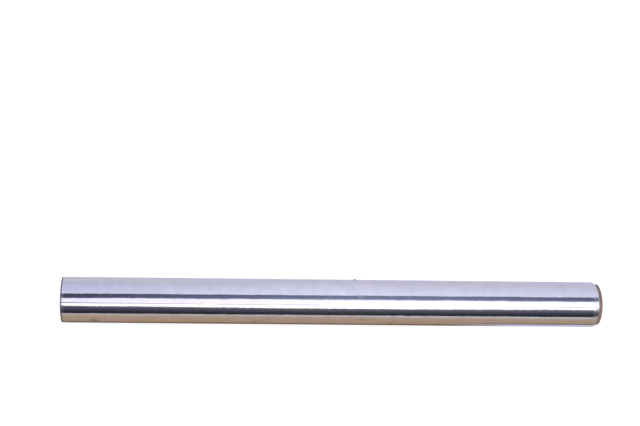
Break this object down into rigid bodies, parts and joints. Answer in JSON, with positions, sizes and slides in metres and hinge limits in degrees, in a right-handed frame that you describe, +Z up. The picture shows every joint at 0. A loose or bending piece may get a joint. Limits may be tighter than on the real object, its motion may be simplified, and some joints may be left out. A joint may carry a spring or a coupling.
{
  "type": "aluminium foil roll",
  "caption": "Roll of kitchen foil wound on a paper core that stands out at one end, lying on its side.",
  "frame": {"origin": "on the axis of the core's bore, half way along the core", "axes": "+X along the roll towards the end where the core stands out, +Z up, -Y the front"},
  "size_m": [0.4537, 0.0382, 0.0382],
  "materials": {
    "foil": "bright rolled foil with fine rolling lines",
    "core": "spiral-wound brown kraft board, matte"
  },
  "bodies": {
    "root": {"foil_roll": "foil", "core_tube": "core"}
  },
  "joints": []
}
